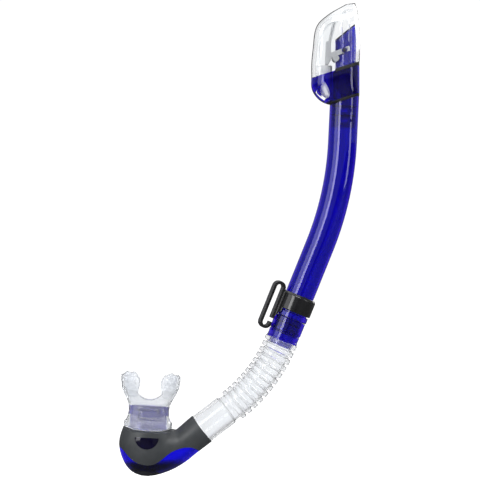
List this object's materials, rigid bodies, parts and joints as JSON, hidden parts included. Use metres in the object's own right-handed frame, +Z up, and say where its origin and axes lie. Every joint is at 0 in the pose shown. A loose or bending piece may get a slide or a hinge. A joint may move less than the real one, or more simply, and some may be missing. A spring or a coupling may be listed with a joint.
{
  "type": "snorkel tube",
  "caption": "Dry-top snorkel: curved tube with a float-valve head, a strap keeper, a swivelling ribbed hose and a purge elbow with a silicone mouthpiece.",
  "frame": {"origin": "on the barrel's axis, at the middle of the strap keeper's ring", "axes": "+Z up as the snorkel is worn, the tube curves in the XZ plane with the mouthpiece towards -X, Y across"},
  "size_m": [0.2239, 0.0422, 0.4396],
  "materials": {
    "clear_plastic": "clear glossy polycarbonate",
    "black_rubber": "black rubber",
    "blue_plastic": "transparent ultramarine polycarbonate, glossy",
    "lever_plastic": "light grey moulded plastic",
    "clear_silicone": "translucent silicone",
    "float_plastic": "white moulded plastic",
    "black_plastic": "glossy black moulded plastic",
    "stainless_steel": "stainless spring steel",
    "grey_rubber": "dark grey soft-touch elastomer",
    "dark_plastic": "dark navy glossy plastic",
    "purge_plastic": "near-black moulded plastic"
  },
  "bodies": {
    "barrel": {"barrel": "blue_plastic", "top_cover": "clear_plastic", "seam_gasket": "black_rubber", "intake_cup": "blue_plastic", "cover_latches": "blue_plastic", "air_duct": "blue_plastic", "neck_o_rings": "black_rubber", "duct_rim_seal": "black_rubber", "lever_pins": "blue_plastic", "coupling_o_ring": "black_rubber"},
    "float": {"float_body": "float_plastic", "float_lid": "float_plastic"},
    "lever": {"flap_lever": "lever_plastic", "flap_seal": "clear_silicone"},
    "keeper": {"strap_keeper": "black_plastic"},
    "hose": {"swivel_coupling": "blue_plastic", "retaining_ring": "stainless_steel", "flex_hose": "clear_silicone"},
    "elbow": {"air_chamber": "blue_plastic", "grip_sleeve": "grey_rubber", "side_badges": "dark_plastic", "purge_cover": "purge_plastic", "purge_seat": "purge_plastic", "mouthpiece": "clear_silicone"},
    "diaphragm": {"purge_diaphragm": "black_rubber"}
  },
  "joints": [
    {"name": "float_lift", "type": "slide", "parent": "barrel", "child": "float", "axis": [0, 0, 1], "range_m": [0, 0.012]},
    {"name": "flap_swing", "type": "hinge", "parent": "barrel", "child": "lever", "pos_m": [0.04445, 0, 0.2353], "axis": [0, 1, 0], "range_deg": [0, 38]},
    {"name": "keeper_spin", "type": "hinge", "parent": "barrel", "child": "keeper", "pos_m": [0, 0, 0], "axis": [0.3746, 0, 0.9272], "continuous": true},
    {"name": "hose_swivel", "type": "hinge", "parent": "barrel", "child": "hose", "pos_m": [-0.00749, 0, -0.01854], "axis": [0.3746, 0, 0.9272], "continuous": true},
    {"name": "hose_bend", "type": "hinge", "parent": "hose", "child": "elbow", "pos_m": [-0.03312, 0, -0.06787], "axis": [0, 1, 0], "range_deg": [-25, 25], "stiffness_Nm_per_rad": 2, "deforming": ["flex_hose"]},
    {"name": "purge_lift", "type": "slide", "parent": "elbow", "child": "diaphragm", "axis": [0, 0, -1], "range_m": [0, 0.0015], "stiffness_N_per_m": 60}
  ],
  "couplings": [
    {"joint": "flap_swing", "follows": "float_lift", "rad_per_m": 55.268}
  ]
}
